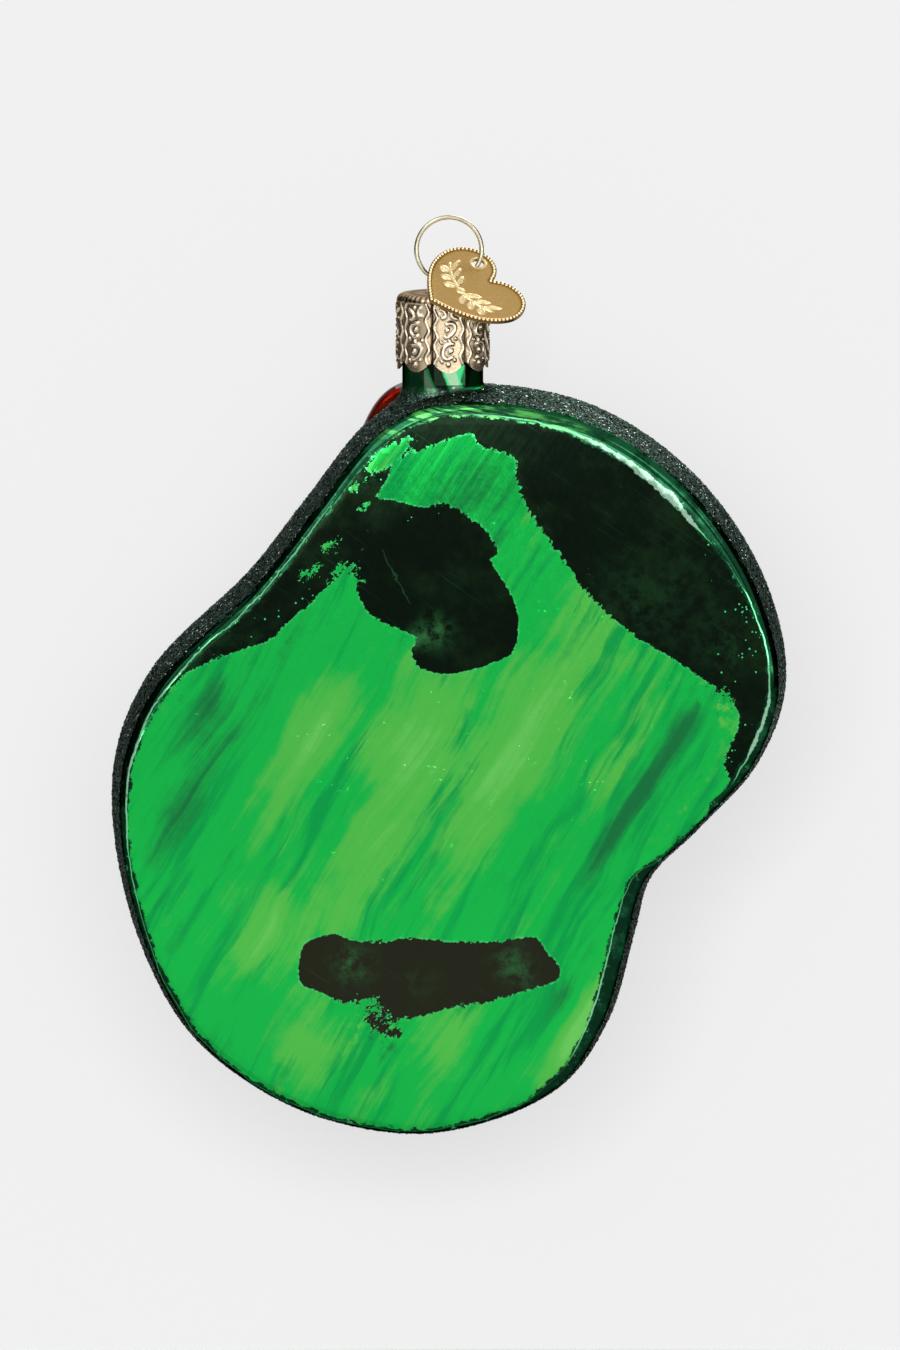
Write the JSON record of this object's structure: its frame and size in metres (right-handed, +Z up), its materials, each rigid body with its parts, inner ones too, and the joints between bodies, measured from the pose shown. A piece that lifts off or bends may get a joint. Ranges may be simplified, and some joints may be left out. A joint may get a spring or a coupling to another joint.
{
  "type": "putting green ornament",
  "caption": "Hanging blown-glass ornament in a kidney-shaped putting green form, green mirrored back, relief front with flag, cup and ball, scalloped metal cap, wire ring and heart tag.",
  "frame": {"origin": "hang point: the inside top of the wire ring, where a hook or thread holds it", "axes": "+Z up, opposite to the way the ornament hangs; -Y out of the plain flat back, +Y out of the relief front; +X to the right seen from the back"},
  "size_m": [0.0865, 0.0269, 0.1184],
  "materials": {
    "lacquered_glass": "silvered blown glass under a translucent green lacquer, with streaks and dark patches",
    "cap_metal": "thin pressed metal, champagne gold, bright, embossed",
    "wire_metal": "pale brass wire, drawn",
    "tag_metal": "stamped metal, satin gold, beaded rim",
    "glitter": "grey-green glitter in clear varnish",
    "red_paint": "glossy red enamel on glass",
    "white_paint": "satin white enamel on glass",
    "green_paint": "satin green enamel on glass"
  },
  "bodies": {
    "hanger": {"hanger_wire": "wire_metal"},
    "cap": {"cap": "cap_metal"},
    "glass": {"glass_body": "lacquered_glass"},
    "tag": {"heart_tag": "tag_metal"}
  },
  "joints": [
    {"name": "cap_turn", "type": "hinge", "parent": "hanger", "child": "cap", "pos_m": [-0.0008, 0, -0.00939], "axis": [0, 0, 1], "continuous": true},
    {"name": "glass_pull", "type": "slide", "parent": "cap", "child": "glass", "axis": [0, 0, -1], "range_m": [0, 0.016]},
    {"name": "tag_flap", "type": "hinge", "parent": "hanger", "child": "tag", "pos_m": [0.00373, 0, -0.00573], "axis": [-1, 0, 0], "range_deg": [0, 85]}
  ]
}
